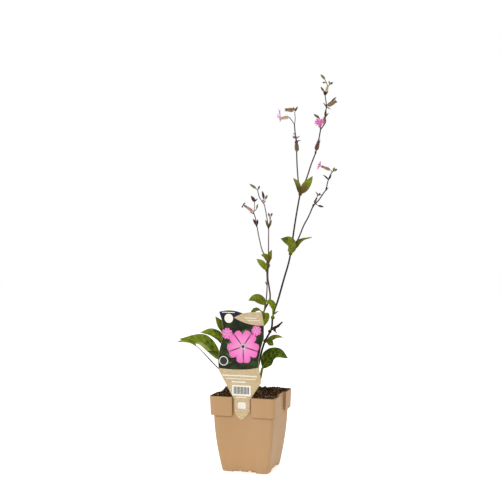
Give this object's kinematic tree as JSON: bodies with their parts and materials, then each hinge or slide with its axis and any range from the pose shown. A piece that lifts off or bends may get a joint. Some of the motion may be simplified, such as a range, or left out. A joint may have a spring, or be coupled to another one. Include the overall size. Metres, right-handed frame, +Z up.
{
  "type": "potted red campion",
  "caption": "Flowering red campion with slender branching stems and broad basal leaves in a square nursery pot with soil and a stick-in plant label.",
  "frame": {"origin": "middle of the pot on the surface that its feet stand on", "axes": "+Z up along the pot's axis; -Y out of the pot side that carries the label; +X to the right as seen from the label side"},
  "size_m": [0.2214, 0.0906, 0.5338],
  "materials": {
    "pot_plastic": "thin moulded tan nursery plastic, softly shiny",
    "soil": "dark peaty potting soil with crumbs and fibres",
    "label_card": "printed stiff plastic card",
    "stem": "thin hairy mauve-brown stem",
    "upper_leaf": "olive green leaf tinged brown",
    "basal_leaf": "fresh green leaf with pale veins",
    "withered_leaf": "dry rolled leaf",
    "calyx": "ribbed hairy calyx, brown red to cream",
    "petal": "soft pink petal",
    "withered_petal": "shrivelled dark red petal"
  },
  "bodies": {
    "root": {"calyx_left_brown": "calyx", "calyx_left_capsule": "calyx", "calyx_left_top": "calyx", "calyx_middle_brown": "calyx", "calyx_middle_capsule": "calyx", "calyx_middle_open": "calyx", "calyx_right_faded": "calyx", "calyx_right_top": "calyx", "calyx_short_pink": "calyx", "calyx_top_brown": "calyx", "calyx_top_pale": "calyx", "dead_leaf": "withered_leaf", "label": "label_card", "leaf_back_low": "basal_leaf", "leaf_back_tall": "basal_leaf", "leaf_behind_label": "basal_leaf", "leaf_left_folded": "basal_leaf", "leaf_left_front": "basal_leaf", "leaf_left_large": "basal_leaf", "leaf_left_small": "basal_leaf", "leaf_left_upright": "basal_leaf", "leaf_right_large": "basal_leaf", "petals_left_capsule": "withered_petal", "petals_left_top": "petal", "petals_middle_open": "petal", "petals_right_faded": "withered_petal", "petals_right_top": "petal", "petals_short_pink": "withered_petal", "pot": "pot_plastic", "shoot_leaves": "upper_leaf", "short_leaves_bottom": "upper_leaf", "short_leaves_top": "upper_leaf", "short_stem": "stem", "soil": "soil", "tall_leaf_arched": "basal_leaf", "tall_leaves_bottom": "upper_leaf", "tall_leaves_middle": "upper_leaf", "tall_leaves_top": "upper_leaf", "tall_stem": "stem"}
  },
  "joints": []
}
